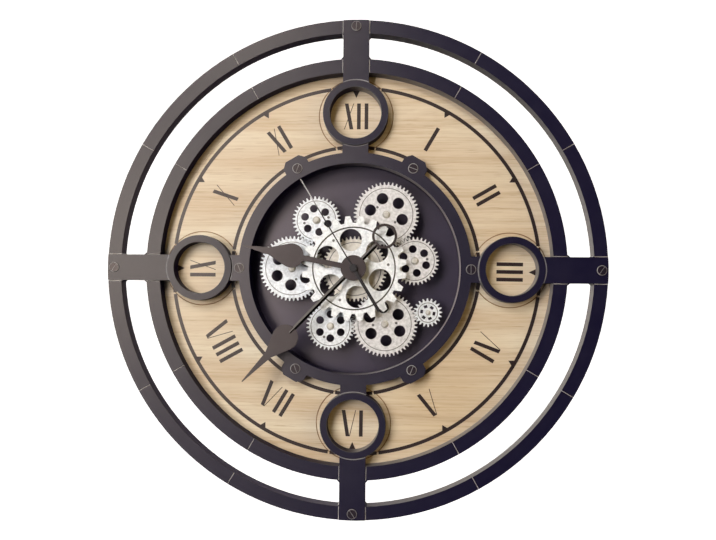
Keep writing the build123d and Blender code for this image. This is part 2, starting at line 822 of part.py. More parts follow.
# Cell of the movement and the contacts in its bay
cell_level = plate_back - bay_floor - cell_radius
with BuildPart() as movement_cell:
    lay_cell(cell_level, 0, movement_cell_height, 0)
movement_cell.part.label = "movement_cell"
export_step(movement_cell.part, "parts/movement_cell.step")

with BuildPart() as cell_contacts:
    lay_contacts(cell_level, 0, movement_cell_height, 0)
cell_contacts.part.label = "cell_contacts"
export_step(cell_contacts.part, "parts/cell_contacts.step")

# Many-sided setting knob with its stem
with BuildPart() as set_knob:
    with BuildSketch(face_at(case_back - end_clearance - knob_thickness, 0, knob_height)):
        RegularPolygon(knob_radius, knob_sides)
    extrude(amount=knob_thickness)
    with BuildSketch(face_at(case_back - end_clearance, 0, knob_height)):
        RegularPolygon(knob_stem_radius, bore_sides)
    extrude(amount=knob_stem_length)
set_knob.part.label = "set_knob"
export_step(set_knob.part, "parts/set_knob.step")

# Motor case on the line from the axis to the pinion, with a bay for two cells
drive_length = drive_outer - drive_inner
drive_width = cell_bay_length + 2 * drive_wall
drive_middle = step_from((0, 0), drive_inner + drive_length / 2, drive_angle)
drive_cells_center = step_from((0, 0), drive_cells_middle, drive_angle)
with BuildPart() as drive_case:
    with BuildSketch(face_at(case_back, *drive_middle, drive_angle)):
        Rectangle(drive_length, drive_width)
    extrude(amount=plate_back - case_back)
    with BuildSketch(face_at(case_back, *drive_cells_center, drive_angle)):
        Rectangle(drive_bay_width, cell_bay_length)
    extrude(amount=bay_depth, mode=Mode.SUBTRACT)
    with BuildSketch(face_at(plate_back, *pinion_center)):
        RegularPolygon(drive_shaft_radius + running_clearance, bore_sides, False)
    extrude(amount=-drive_shaft_grip - end_clearance, mode=Mode.SUBTRACT)
drive_case.part.label = "drive_case"
export_step(drive_case.part, "parts/drive_case.step")

cell_places = [step_from(drive_cells_center, side * drive_cell_pitch / 2, drive_angle) for side in (-1, 1)]
with BuildPart() as drive_cells:
    for (x, z), turn in zip(cell_places, (drive_angle + 90, drive_angle - 90)):
        lay_cell(cell_level, x, z, turn)
drive_cells.part.label = "drive_cells"
export_step(drive_cells.part, "parts/drive_cells.step")

with BuildPart() as drive_contacts:
    for x, z in cell_places:
        lay_contacts(cell_level, x, z, drive_angle + 90)
drive_contacts.part.label = "drive_contacts"
export_step(drive_contacts.part, "parts/drive_contacts.step")
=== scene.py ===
"""Looks of a wall clock with an open black ring frame, an oak dial and a round window of turning gears.

Blender works in metres here, and the sizes below are in millimetres. +Z is up, the dial faces -Y, the clock's
axis is x = z = 0 and a level is a distance from the wall.
"""

import json
import logging
import math
from dataclasses import dataclass, field, replace
from enum import Enum
from functools import cache
from typing import Iterable, Sequence

import bmesh
import bpy
from mathutils import Matrix, Vector


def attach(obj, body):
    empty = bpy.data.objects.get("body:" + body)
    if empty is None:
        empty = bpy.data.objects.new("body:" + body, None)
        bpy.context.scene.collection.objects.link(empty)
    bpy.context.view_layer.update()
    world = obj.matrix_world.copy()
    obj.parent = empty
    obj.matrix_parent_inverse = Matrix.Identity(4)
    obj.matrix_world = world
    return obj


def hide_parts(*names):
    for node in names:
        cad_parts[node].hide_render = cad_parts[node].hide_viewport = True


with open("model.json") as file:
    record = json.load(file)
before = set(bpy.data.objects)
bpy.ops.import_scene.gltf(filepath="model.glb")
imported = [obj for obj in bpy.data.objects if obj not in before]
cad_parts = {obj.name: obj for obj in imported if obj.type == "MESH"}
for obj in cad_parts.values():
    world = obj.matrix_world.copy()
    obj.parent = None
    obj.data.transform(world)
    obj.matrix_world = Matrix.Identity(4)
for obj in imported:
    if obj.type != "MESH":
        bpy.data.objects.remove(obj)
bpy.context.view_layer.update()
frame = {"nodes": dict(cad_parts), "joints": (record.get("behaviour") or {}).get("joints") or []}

MM = 0.001
WHITE = (1.0, 1.0, 1.0)
HOUR_ANGLE = 30
QUARTERS = (0, 90, 180, 270)
PLAIN_HOURS = (1, 2, 4, 5, 7, 8, 10, 11)
FRAME_FRONT = 51.0
GEAR_FRONT = 46.0
MEDALLION_PITCH = 187.5
MEDALLION_RADIUS = 39.5

Color = tuple[float, float, float]
Flat = tuple[float, float]
Triple = tuple[float, float, float]
Piece = bpy.types.Object
Paint = bpy.types.Material
Socket = bpy.types.NodeSocket
Inputs = dict[str | int, Socket | float | tuple[float, ...]]
Loop = list[bmesh.types.BMVert]
log = logging.getLogger("gear_clock")


def turned(radius: float, angle: float) -> Flat:
    """Place (x, z) at a radius and an angle in degrees, clockwise from twelve."""
    return radius * math.sin(math.radians(angle)), radius * math.cos(math.radians(angle))


def ring_points(center: Flat, radius: float, count: int, first: float = 0.0) -> list[Flat]:
    """Places (x, z) on a circle, counter-clockwise from a first angle, which counts in degrees from the right."""
    steps = (math.radians(first) + 2 * math.pi * i / count for i in range(count))
    return [(center[0] + radius * math.cos(a), center[1] + radius * math.sin(a)) for a in steps]


def put(name: str, data: bpy.types.ID) -> Piece:
    """Puts a mesh, lamp or camera in the scene.

    Args:
        name: The new object's name.
        data: What it shows.

    Returns:
        The new object, at the origin.
    """
    thing = bpy.data.objects.new(name, data)
    bpy.context.scene.collection.objects.link(thing)
    return thing


class Lay(Enum):
    """How a colour is laid over another one."""

    COVER = "MIX"
    STAIN = "MULTIPLY"


class Graph:
    """Node graph of one finish, with the few patterns that the finishes share."""

    INWARD_SPAN = (-0.004, 0.0)
    LEFTWARD_SPAN = (-0.35, 0.25)

    def __init__(self, name: str) -> None:
        """Opens a new material.

        Args:
            name: The finish's name.
        """
        self.material = bpy.data.materials.new(name)
        self.material.use_nodes = True
        self.nodes = self.material.node_tree.nodes
        self.shader = self.nodes["Principled BSDF"]
        where = self.nodes.new("ShaderNodeTexCoord")
        self.place, self.normal = where.outputs["Object"], where.outputs["Normal"]

    def _fill(self, node: bpy.types.Node, inputs: Inputs) -> None:
        """Sets a node's inputs.

        Args:
            node: The node.
            inputs: For each input, a socket that is joined to it or a value that stays on it.
        """
        for key, value in inputs.items():
            if isinstance(value, Socket):
                self.material.node_tree.links.new(value, node.inputs[key])
            else:
                node.inputs[key].default_value = value

    def node(self, kind: str, inputs: Inputs, **options: str) -> bpy.types.Node:
        """Adds a node.

        Args:
            kind: Its type, without the prefix.
            inputs: What its inputs get.
            options: Its own settings.

        Returns:
            The node.
        """
        node = self.nodes.new(f"ShaderNode{kind}")
        for option, choice in options.items():
            setattr(node, option, choice)
        self._fill(node, inputs)
        return node

    def surface(self, inputs: Inputs) -> None:
        """Sets the shader's inputs."""
        self._fill(self.shader, inputs)

    def noise(self, cells: Triple, detail: float = 3.0, rough: float = 0.55, bend: float = 0.0) -> Socket:
        """Soft patches from 0 to 1 on the piece, so many in a metre along x, y and z, with finer layers in them."""
        stretch = self.node("Mapping", {"Scale": cells, "Vector": self.place}).outputs["Vector"]
        return self.node("TexNoise", {"Vector": stretch, "Scale": 1.0, "Detail": detail, "Roughness": rough,
                                      "Distortion": bend}).outputs["Fac"]

    def shades(self, value: Socket, *stops: tuple[float, Color]) -> Socket:
        """Colours along a value.

        Args:
            value: What the colour follows.
            stops: Places along the value with their colours.

        Returns:
            The colour.
        """
        ramp = self.node("ValToRGB", {"Fac": value})
        points = ramp.color_ramp.elements
        while len(points) < len(stops):
            points.new(1.0)
        for point, (place, color) in zip(points, stops):
            point.position = place
            point.color = (*color, 1.0)
        return ramp.outputs["Color"]

    def span(self, value: Socket, low: float, high: float, start: float = 0.3, end: float = 0.7) -> Socket:
        """A value spread out, from low where it leaves start to high where it reaches end."""
        ends = {"From Min": start, "From Max": end, "To Min": low, "To Max": high}
        return self.node("MapRange", {"Value": value, **ends}).outputs["Result"]

    def layer(self, share: Socket, below: Socket, above: Socket, lay: Lay) -> Socket:
        """The colour that comes from laying a share of one colour over another one."""
        inputs = {"Factor": share, "A": below, "B": above}
        return self.node("Mix", inputs, data_type="RGBA", blend_type=lay.value).outputs["Result"]

    def _normal(self, axis: str) -> Socket:
        """One part of the surface's own direction."""
        return self.node("SeparateXYZ", {"Vector": self.normal}).outputs[axis]

    def _inward(self) -> Socket:
        """1 on the walls that face the clock's axis and 0 on those that face away."""
        toward = self.node("VectorMath", {0: self.place, 1: self.normal}, operation="DOT_PRODUCT")
        return self.span(toward.outputs["Value"], 1.0, 0.0, *self.INWARD_SPAN)

    def facing(self, start: float, end: float) -> Socket:
        """0 on the walls, up to a start, and 1 on what faces the front or the back, from an end."""
        flat = self.node("Math", {0: self._normal("Y")}, operation="ABSOLUTE")
        return self.span(flat.outputs["Value"], 0.0, 1.0, start, end)

    def painted_lit_side(self, inner: bool) -> Socket:
        """Mask of painted light on walls: 1 where they face the left and take the lit colour; if inner, only where they
        face the axis.
        """
        left = self.span(self._normal("X"), 1.0, 0.0, *self.LEFTWARD_SPAN)
        return self.node("Math", {0: left, 1: self._inward()}, operation="MULTIPLY").outputs["Value"] if inner else left

    def relief(self, height: Socket, strength: float, depth: float) -> None:
        """Gives the surface a fine relief that follows a height, with its depth in metres."""
        bump = self.node("Bump", {"Strength": strength, "Distance": depth, "Height": height})
        self.surface({"Normal": bump.outputs["Normal"]})


@dataclass(frozen=True)
class Coat:
    """Paint, plating or moulded plastic: a cloudy colour, uneven gloss, a fine skin and, if given, painted light and
    shade on its walls.
    """

    name: str
    deep: Color
    pale: Color
    gloss: Flat
    metal: float = 0.0
    shine: float = 0.5
    cloud: Triple = (45.0, 45.0, 45.0)
    skin: Triple = (900.0, 900.0, 900.0)
    skin_depth: float = 0.00005
    skin_strength: float = 0.12
    gloss_tint: Color = WHITE
    # Painted shade and painted light on the walls, as (shaded colour, lit colour); the lit colour goes on walls that
    # face the left.
    walls: tuple[Color, Color] | None = None
    wall_shine: float = 0.04
    flat_from: Flat = (0.2, 0.8)
    facet: bool = False
    spread: Flat = (0.3, 0.7)

    def mix(self, graph: Graph) -> None:
        """Mixes the finish.

        Args:
            graph: Its new node graph.
        """
        clouds = graph.noise(self.cloud, detail=4.0)
        skin = graph.noise(self.skin, detail=2.0)
        color = graph.shades(clouds, *zip(self.spread, (self.deep, self.pale)))
        graph.surface({"Specular IOR Level": self.shine})
        # Painted light and shade: walls that face the left take the painted lit colour, the others the painted shaded
        # colour.
        if self.walls is not None:
            deep, lit_wall_color = self.walls
            side = graph.shades(graph.painted_lit_side(not self.facet), (0.0, deep), (1.0, lit_wall_color))
            flat = graph.facing(*self.flat_from)
            color = graph.layer(flat, side, color, Lay.COVER)
            graph.surface({"Specular IOR Level": graph.span(flat, self.wall_shine, self.shine, 0.0, 1.0)})
        graph.surface({
            "Base Color": color,
            "Roughness": graph.span(skin, *self.gloss),
            "Metallic": self.metal,
            "Specular Tint": (*self.gloss_tint, 1.0),
        })
        graph.relief(skin, self.skin_strength, self.skin_depth)


@dataclass(frozen=True)
class Oak:
    """Light oak veneer with level grain: broad figure, fine fibres, dark pores and a darker, warmer round patch."""

    name: str
    pale: Color
    tan: Color
    warm: Color
    pore: Color
    # Place (x, z) and reach in millimetres of a round patch where the oak is darker and warmer, if any.
    dark_patch: Triple | None = None
    dark_patch_tint: Color = (0.88, 0.79, 0.68)
    dark_patch_core: float = 0.4
    streak: Color = (0.80, 0.74, 0.66)
    figure_cells: Triple = (2.2, 8.0, 26.0)
    fibre_cells: Triple = (7.0, 60.0, 420.0)
    pore_cells: Triple = (38.0, 90.0, 1300.0)
    gloss: Flat = (0.62, 0.48)
    shine: float = 0.3
    relief: Flat = (0.15, 0.0001)

    def mix(self, graph: Graph) -> None:
        """Mixes the finish.

        Args:
            graph: Its new node graph.
        """
        figure = graph.noise(self.figure_cells, detail=5.0, rough=0.6, bend=0.7)
        fibre = graph.noise(self.fibre_cells, detail=4.0, rough=0.65)
        pores = graph.noise(self.pore_cells, detail=2.0, rough=0.5)
        ground = graph.shades(figure, (0.32, self.pale), (0.5, self.tan), (0.66, self.warm))
        streaks = graph.shades(fibre, (0.36, self.streak), (0.56, WHITE))
        ground = graph.layer(graph.span(figure, low=0.35, high=0.9), ground, streaks, Lay.STAIN)
        # Darker and warmer towards the patch's middle, following the figure.
        if self.dark_patch is not None:
            x, z, reach = (size * MM for size in self.dark_patch)
            away = graph.node("VectorMath", {0: graph.place, 1: (x, 0.0, z)}, operation="DISTANCE")
            near = graph.span(away.outputs["Value"], 1.0, 0.0, self.dark_patch_core * reach, reach)
            tint = graph.shades(figure, (0.30, self.dark_patch_tint), (0.75, WHITE))
            ground = graph.layer(near, ground, tint, Lay.STAIN)
        dashes = graph.shades(pores, (0.30, self.pore), (0.40, WHITE))
        ground = graph.layer(graph.span(fibre, low=0.75, high=0.25), ground, dashes, Lay.STAIN)
        graph.surface({
            "Base Color": ground,
            "Roughness": graph.span(fibre, *self.gloss),
            "Specular IOR Level": self.shine,
        })
        graph.relief(fibre, *self.relief)


@dataclass(frozen=True)
class BrushedMetal:
    """Bare metal with drawn marks along one direction."""

    name: str
    deep: Color
    pale: Color
    gloss: Flat
    marks: Triple
    relief: Flat = (0.08, 0.00004)

    def mix(self, graph: Graph) -> None:
        """Mixes the finish.

        Args:
            graph: Its new node graph.
        """
        drawn = graph.noise(self.marks, rough=0.6)
        graph.surface({
            "Base Color": graph.shades(drawn, (0.3, self.deep), (0.7, self.pale)),
            "Roughness": graph.span(drawn, *self.gloss),
            "Metallic": 1.0,
        })
        graph.relief(drawn, *self.relief)


@dataclass(frozen=True)
class Needle:
    """Dark plating on the second hand, with a painted highlight that grows bright towards its tip."""

    name: str
    dark: Color
    bright: Color
    # Where the painted highlight starts and ends along the hand, in millimetres from the axis.
    highlight_span: Flat
    angle: float
    gloss: Flat = (0.30, 0.42)
    scratches: Triple = (400.0, 400.0, 400.0)
    relief: Flat = (0.05, 0.00003)

    def mix(self, graph: Graph) -> None:
        """Mixes the finish.

        Args:
            graph: Its new node graph.
        """
        x, z = turned(1 / MM, self.angle)
        along = graph.node("VectorMath", {0: graph.place, 1: (x, 0.0, z)}, operation="DOT_PRODUCT")
        # Painted highlight: the colour grows bright along the hand towards its tip.
        tip_highlight = graph.span(along.outputs["Value"], 0.0, 1.0, *self.highlight_span)
        scratches = graph.noise(self.scratches)
        graph.surface({
            "Base Color": graph.shades(tip_highlight, (0.0, self.dark), (1.0, self.bright)),
            "Roughness": graph.span(scratches, *self.gloss),
        })
        graph.relief(scratches, *self.relief)


@dataclass(frozen=True)
class Paper:
    """Plain pale paper of the stage: how pale it is and how much light it gives by itself."""

    name: str
    shade: float
    glow: float
    roughness: float = 0.7

    def mix(self, graph: Graph) -> None:
        """Mixes the finish.

        Args:
            graph: Its new node graph.
        """
        graph.surface({
            "Base Color": (self.shade, self.shade, self.shade, 1.0),
            "Roughness": self.roughness,
            "Emission Color": (*WHITE, 1.0),
            "Emission Strength": self.glow,
        })


class Finish(Enum):
    """Every finish on the clock and its stage."""

    # The wall colours of the frame, outer ring and window ring blacks are painted shade on walls that face the right
    # and painted light on walls that face the left.
    FRAME_BLACK = Coat("frame_black", (0.003, 0.002, 0.023), (0.007, 0.006, 0.028), (0.37, 0.43), shine=0.42,
                       gloss_tint=(1.0, 0.91, 0.74), walls=((0.005, 0.003, 0.026), (0.25, 0.235, 0.225)))
    OUTER_BLACK = replace(FRAME_BLACK, name="outer_black", walls=((0.055, 0.047, 0.078), (0.135, 0.125, 0.120)))
    WINDOW_BLACK = Coat("window_black", (0.005, 0.004, 0.022), (0.009, 0.008, 0.027), (0.38, 0.44), shine=0.58,
                        gloss_tint=(1.0, 0.90, 0.80), walls=((0.004, 0.003, 0.024), (0.40, 0.37, 0.37)))
    OPENING_BLACK = Coat("opening_black", (0.004, 0.003, 0.018), (0.007, 0.006, 0.024), (0.50, 0.60), shine=0.3)
    FRAME_EDGE = Coat("frame_edge", (0.022, 0.020, 0.028), (0.045, 0.042, 0.046), (0.40, 0.50))
    # Painted highlights: the score lines of the frame are painted pale where their grooves catch the light.
    JOINT_HIGHLIGHT = Coat("joint_highlight", (0.42, 0.40, 0.40), (0.62, 0.60, 0.59), (0.40, 0.55))
    COLLAR_HIGHLIGHT = Coat("collar_highlight", (0.17, 0.16, 0.175), (0.28, 0.27, 0.28), (0.40, 0.55))
    RING_JOINT_HIGHLIGHT = Coat("ring_joint_highlight", (0.40, 0.38, 0.38), (0.58, 0.56, 0.55), (0.40, 0.55))
    # The oak is darker and warmer in a round patch at the lower right of the dial.
    OAK = Oak("light_oak", (0.72, 0.64, 0.50), (0.635, 0.53, 0.395), (0.56, 0.43, 0.29), (0.62, 0.50, 0.40),
              dark_patch=(105.0, -150.0, 115.0))
    # Cut oak in the scored circles, darker than the board and darkened further as painted shade in the grooves.
    OAK_CUT_AND_SHADE = Oak("oak_cut_and_shade", (0.38, 0.25, 0.13), (0.31, 0.19, 0.10), (0.26, 0.15, 0.08), (0.6, 0.5, 0.4))
    DIAL_INK = Coat("dial_ink", (0.012, 0.006, 0.009), (0.022, 0.012, 0.014), (0.38, 0.45), shine=0.46,
                    cloud=(30.0, 40.0, 400.0), gloss_tint=(1.0, 0.90, 0.82))
    PLATE_DARK = Coat("plate_dark", (0.008, 0.006, 0.029), (0.012, 0.010, 0.036), (0.38, 0.45), shine=0.90,
                      gloss_tint=(1.0, 0.87, 0.83))
    SCREW_DARK = Coat("screw_dark", (0.006, 0.004, 0.016), (0.012, 0.009, 0.020), (0.38, 0.46),
                      gloss_tint=(1.0, 0.84, 0.72))
    # Painted highlight on the rims and slots of the screw heads.
    SCREW_EDGE_HIGHLIGHT = Coat("screw_edge_highlight", (0.20, 0.19, 0.195), (0.34, 0.33, 0.325), (0.35, 0.45))
    GEAR_SILVER = Coat("gear_plating", (0.575, 0.605, 0.65), (0.80, 0.835, 0.885), (0.34, 0.50), 0.1,
                       cloud=(300.0,) * 3, spread=(0.34, 0.62))
    CROWN_SILVER = replace(GEAR_SILVER, name="crown_plating", deep=(0.66, 0.69, 0.73), pale=(0.89, 0.92, 0.955))
    # Painted reflection and shade: a darker, pinkish copy of the gear plating for the three right-hand wheels.
    GEAR_REFLECTION_AND_SHADE = replace(GEAR_SILVER, name="gear_reflection_and_shade", deep=(0.53, 0.53, 0.55), pale=(0.745, 0.74, 0.765))
    GEAR_BEIGE = Coat("gear_beige", (0.58, 0.54, 0.48), (0.78, 0.74, 0.68), (0.40, 0.52), 0.1,
                      cloud=(200.0,) * 3)
    # Painted shade in the gears' rim grooves.
    GEAR_GROOVE_SHADE = Coat("gear_groove_shade", (0.13, 0.125, 0.12), (0.20, 0.195, 0.19), (0.45, 0.6))
    GEAR_SHADE = Coat("gear_shade", (0.035, 0.032, 0.030), (0.07, 0.066, 0.060), (0.45, 0.6))
    # Painted shade on the gears' hole walls, small marks and the crown's rounded edges.
    GEAR_WALL_SHADE = Coat("gear_wall_shade", (0.10, 0.10, 0.11), (0.18, 0.178, 0.18), (0.40, 0.55))
    CAP_PALE = Coat("cap_pale", (0.60, 0.58, 0.54), (0.80, 0.78, 0.73), (0.16, 0.26), 0.3,
                    cloud=(160.0,) * 3)
    BRASS = BrushedMetal("turned_brass", (0.52, 0.36, 0.14), (0.70, 0.50, 0.22), (0.24, 0.40), (60.0, 900.0, 60.0))
    CONTACT = BrushedMetal("sprung_steel", (0.50, 0.50, 0.49), (0.66, 0.65, 0.63), (0.22, 0.38),
                           (500.0, 60.0, 500.0))
    # The hands' walls and facets take painted light where they face the left and painted shade where they face the
    # right.
    HAND_DARK = Coat("hand_enamel", (0.027, 0.019, 0.022), (0.036, 0.027, 0.030), (0.37, 0.45),
                     gloss_tint=(1.0, 0.91, 0.88), walls=((0.003, 0.003, 0.004), (0.14, 0.13, 0.125)),
                     flat_from=(0.85, 0.97), facet=True)
    # Painted highlight on the second hand, bright towards its tip.
    NEEDLE = Needle("needle_steel", (0.014, 0.012, 0.015), (0.42, 0.42, 0.44), (80.0, 96.0), 328.8)
    CASE_PLASTIC = Coat("moulded_plastic", (0.014, 0.014, 0.015), (0.024, 0.024, 0.025), (0.42, 0.58),
                        skin=(1600.0,) * 3, skin_strength=0.35)
    COVER_COAT = Coat("cover_coat", (0.018, 0.018, 0.019), (0.030, 0.030, 0.031), (0.44, 0.60),
                      skin=(1200.0,) * 3, skin_strength=0.4)
    CELL_SLEEVE = Coat("cell_sleeve", (0.10, 0.13, 0.16), (0.14, 0.17, 0.20), (0.22, 0.34))
    WALL_WHITE = Paper("wall_white", 0.9, 1.0)
    FLOOR_PALE = Paper("floor_pale", 0.8, 0.6)

    @cache
    def material(self) -> Paint:
        """Makes the finish's material at its first use.

        Returns:
            The material.
        """
        graph = Graph(self.value.name)
        self.value.mix(graph)
        return graph.material


Finishes = Sequence[Finish]


def dress(piece: Piece, finishes: Finishes) -> None:
    """Gives a piece or a node its finishes.

    Args:
        piece: What is dressed.
        finishes: One finish for each slot, the main one first.
    """
    slots = piece.data.materials
    for place, finish in enumerate(finishes):
        if place < len(slots):
            slots[place] = finish.material()
        else:
            slots.append(finish.material())


class Shape:
    """Mesh of one piece, gathered in millimetres on planes parallel to the wall."""

    ARC_STEP = 1.5

    def __init__(self, *finishes: Finish) -> None:
        """Starts an empty mesh whose faces take the first finish.

        Args:
            finishes: All finishes of the piece.
        """
        self.mesh = bmesh.new()
        self.finishes = finishes
        self.finish_index = 0

    def use(self, finish: Finish) -> None:
        """Gives one of the finishes to the faces that follow."""
        self.finish_index = self.finishes.index(finish)

    def _corner(self, place: Flat, level: float) -> bmesh.types.BMVert:
        """New corner at a place on a level."""
        return self.mesh.verts.new((place[0] * MM, -level * MM, place[1] * MM))

    def _turning(self, center: Flat, section: Sequence[Flat], sides: int) -> list[Loop]:
        """Loops of corners round an axis, one for each corner (radius, level) of a section."""
        return [[self._corner(p, level) for p in ring_points(center, radius, sides)] for radius, level in section]

    def _face(self, corners: Sequence[bmesh.types.BMVert]) -> None:
        """New face with the finish that is in use."""
        self.mesh.faces.new(corners).material_index = self.finish_index

    def _band(self, a: Loop, b: Loop) -> None:
        """New faces between two loops of corners."""
        for i, j in zip(range(len(a)), (*range(1, len(a)), 0)):
            self._face((a[i], a[j], b[j], b[i]))

    def _bands(self, loops: Sequence[Loop]) -> None:
        """New faces from each loop of corners to the next."""
        for a, b in zip(loops, loops[1:]):
            self._band(a, b)

    def _ends(self, loops: Sequence[Loop]) -> None:
        """New faces that close the first and the last loop of corners."""
        self._face(loops[0][::-1])
        self._face(loops[-1])

    def _solid(self, loops: Sequence[Loop]) -> None:
        """New faces along loops of corners, closed flat at both ends."""
        self._ends(loops)
        self._bands(loops)

    def prism(self, outline: Sequence[Flat], back: float, front: float) -> None:
        """Adds an upright prism, from the level of its back to that of its front."""
        self._solid([[self._corner(p, level) for p in outline] for level in (back, front)])

    def turned_ring(self, center: Flat, section: Sequence[Flat], sides: int) -> None:
        """Adds a ring of a closed section (radius, level), turned round an axis square to the wall."""
        loops = self._turning(center, section, sides)
        self._bands([*loops, loops[0]])

    def turned_knob(self, center: Flat, section: Sequence[Flat], sides: int, bands: Finishes) -> None:
        """Adds a solid turned round an axis square to the wall, closed flat at both ends.

        Args:
            center: The axis's place.
            section: Corners (radius, level) from the first end to the last.
            sides: How many sides the turning has.
            bands: Finish of each band between two corners; the ends take the first one.
        """
        loops = self._turning(center, section, sides)
        self.use(bands[0])
        self._ends(loops)
        for a, b, finish in zip(loops, loops[1:], bands):
            self.use(finish)
            self._band(a, b)

    def arc_band(self, radius: float, width: float, span: Flat, back: float, front: float) -> None:
        """Adds a flat band along an arc round the clock's axis.

        Args:
            radius: The band's middle radius.
            width: Its width.
            span: First and last angle, clockwise from twelve.
            back: Level of its rear face.
            front: Level of its front face.
        """
        inner, outer = radius - width / 2, radius + width / 2
        section = ((inner, back), (outer, back), (outer, front), (inner, front))
        steps = max(2, math.ceil((span[1] - span[0]) / self.ARC_STEP))
        angles = [span[0] + (span[1] - span[0]) * i / steps for i in range(steps + 1)]
        self._solid([[self._corner(turned(r, a), level) for r, level in section] for a in angles])

    def groove(self, start: Flat, end: Flat, width: float, depth: float, level: float) -> None:
        """Adds a V-shaped bar that cuts a straight score line.

        Args:
            start: The line's first end.
            end: Its last end.
            width: The line's width at the surface.
            depth: Its depth.
            level: Level of the surface.
        """
        along = Vector(end) - Vector(start)
        side = Vector((-along.y, along.x)).normalized() * width
        section = ((-side, level + depth), (side, level + depth), (Vector((0, 0)), level - depth))
        self._solid([[self._corner(Vector(place) + p, q) for p, q in section] for place in (start, end)])

    def lower(self, drop: float) -> None:
        """Moves everything gathered so far down by a distance."""
        bmesh.ops.translate(self.mesh, verts=self.mesh.verts, vec=(0.0, 0.0, -drop * MM))

    def build(self, name: str) -> Piece:
        """Puts the mesh in the scene and dresses it.

        Args:
            name: The piece's name.

        Returns:
            The new object, at the origin.
        """
        bmesh.ops.recalc_face_normals(self.mesh, faces=self.mesh.faces)
        data = bpy.data.meshes.new(name)
        self.mesh.to_mesh(data)
        self.mesh.free()
        piece = put(name, data)
        dress(piece, self.finishes)
        return piece


@dataclass(frozen=True)
class Rounding:
    """Rounded edges: their width in millimetres, their finish if not the main one, and the steps across them."""

    width: float
    edge: Finish | None = None
    steps: int = 2


class Tidy:
    """Modifiers that give the pieces clean edges without touching their meshes."""

    SMOOTH_ANGLE = math.radians(32.0)
    FLAT_ANGLE = math.radians(0.3)
    WELD_REACH = 1e-6
    FACE_WEIGHT = 100

    @staticmethod
    def _add(piece: Piece, name: str, kind: str, **settings: object) -> None:
        """Adds a modifier.

        Args:
            piece: What it works on.
            name: Its name.
            kind: Its type.
            settings: Its own settings.
        """
        modifier = piece.modifiers.new(name, kind)
        for setting, value in settings.items():
            setattr(modifier, setting, value)

    @staticmethod
    def _chain(name: str, *kinds: str) -> tuple[bpy.types.NodeTree, list[bpy.types.Node]]:
        """New geometry group that passes through some nodes, one after the other.

        Args:
            name: The group's name.
            kinds: The nodes' types, without the prefix.

        Returns:
            The group and these nodes.
        """
        tree = bpy.data.node_groups.new(name, "GeometryNodeTree")
        for way in ("INPUT", "OUTPUT"):
            tree.interface.new_socket("Geometry", in_out=way, socket_type="NodeSocketGeometry")
        steps = [tree.nodes.new(f"GeometryNode{kind}") for kind in kinds]
        chain = [tree.nodes.new("NodeGroupInput"), *steps, tree.nodes.new("NodeGroupOutput")]
        for source, target in zip(chain, chain[1:]):
            tree.links.new(source.outputs[0], target.inputs[0])
        return tree, steps

    @classmethod
    @cache
    def _weld_group(cls) -> bpy.types.NodeTree:
        """Makes, once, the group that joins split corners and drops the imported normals.

        Returns:
            The group.
        """
        tree, (merge, drop) = cls._chain("weld_corners", "MergeByDistance", "RemoveAttribute")
        merge.inputs["Distance"].default_value = cls.WELD_REACH
        drop.inputs["Name"].default_value = "custom_normal"
        return tree

    @classmethod
    @cache
    def _shade_group(cls) -> bpy.types.NodeTree:
        """Makes, once, the group that shades smooth, with a crease at every sharp edge.

        Returns:
            The group.
        """
        tree, (faces, edges) = cls._chain("shade_by_angle", "SetShadeSmooth", "SetShadeSmooth")
        faces.domain, edges.domain = "FACE", "EDGE"
        angle = tree.nodes.new("GeometryNodeInputMeshEdgeAngle")
        gentle = tree.nodes.new("FunctionNodeCompare")
        gentle.operation = "LESS_THAN"
        gentle.inputs[1].default_value = cls.SMOOTH_ANGLE
        tree.links.new(angle.outputs["Unsigned Angle"], gentle.inputs[0])
        tree.links.new(gentle.outputs[0], edges.inputs["Shade Smooth"])
        return tree

    @classmethod
    def weld(cls, node: Piece) -> None:
        """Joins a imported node's split corners and merges its flat triangles."""
        cls._add(node, "weld", "NODES", node_group=cls._weld_group())
        cls._add(node, "flat", "DECIMATE", decimate_type="DISSOLVE", angle_limit=cls.FLAT_ANGLE)

    @classmethod
    def clean(cls, piece: Piece, finishes: Finishes, rounding: Rounding | None, cutter: Piece | None) -> None:
        """Cuts a piece, rounds its edges and shades it smooth between them, with its large faces kept flat.

        Args:
            piece: The piece or node.
            finishes: Its finishes.
            rounding: How its edges are rounded, if they are.
            cutter: What is cut out of it, if anything; the cut takes the cutter's finishes.
        """
        if cutter is not None:
            cls._add(piece, "carve", "BOOLEAN", operation="DIFFERENCE", solver="EXACT", object=cutter)
        if rounding is not None:
            edge = -1 if rounding.edge is None else finishes.index(rounding.edge)
            cls._add(piece, "soften", "BEVEL", width=rounding.width * MM, segments=rounding.steps,
                     limit_method="ANGLE", angle_limit=cls.SMOOTH_ANGLE, material=edge, loop_slide=False)
        cls._add(piece, "shade", "NODES", node_group=cls._shade_group())
        cls._add(piece, "flatten", "WEIGHTED_NORMAL", keep_sharp=True, weight=cls.FACE_WEIGHT)


def finish_node(name: str, finishes: Finishes, rounding: Rounding | None = None,
                cutter: Piece | None = None) -> None:
    """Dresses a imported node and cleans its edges.

    Args:
        name: The node's name.
        finishes: Its finishes, the main one first.
        rounding: How its edges are rounded, if they are.
        cutter: What is cut out of it, if anything.
    """
    node = frame["nodes"][name]
    dress(node, finishes)
    Tidy.weld(node)
    Tidy.clean(node, finishes, rounding, cutter)
    log.info("dressed %s", name)


@dataclass(frozen=True)
class Row:
    """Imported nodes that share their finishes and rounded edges."""

    names: tuple[str, ...]
    finishes: Finishes
    rounding: Rounding | None = None

    def build(self) -> None:
        """Dresses the nodes."""
        for name in self.names:
            finish_node(name, self.finishes, self.rounding)


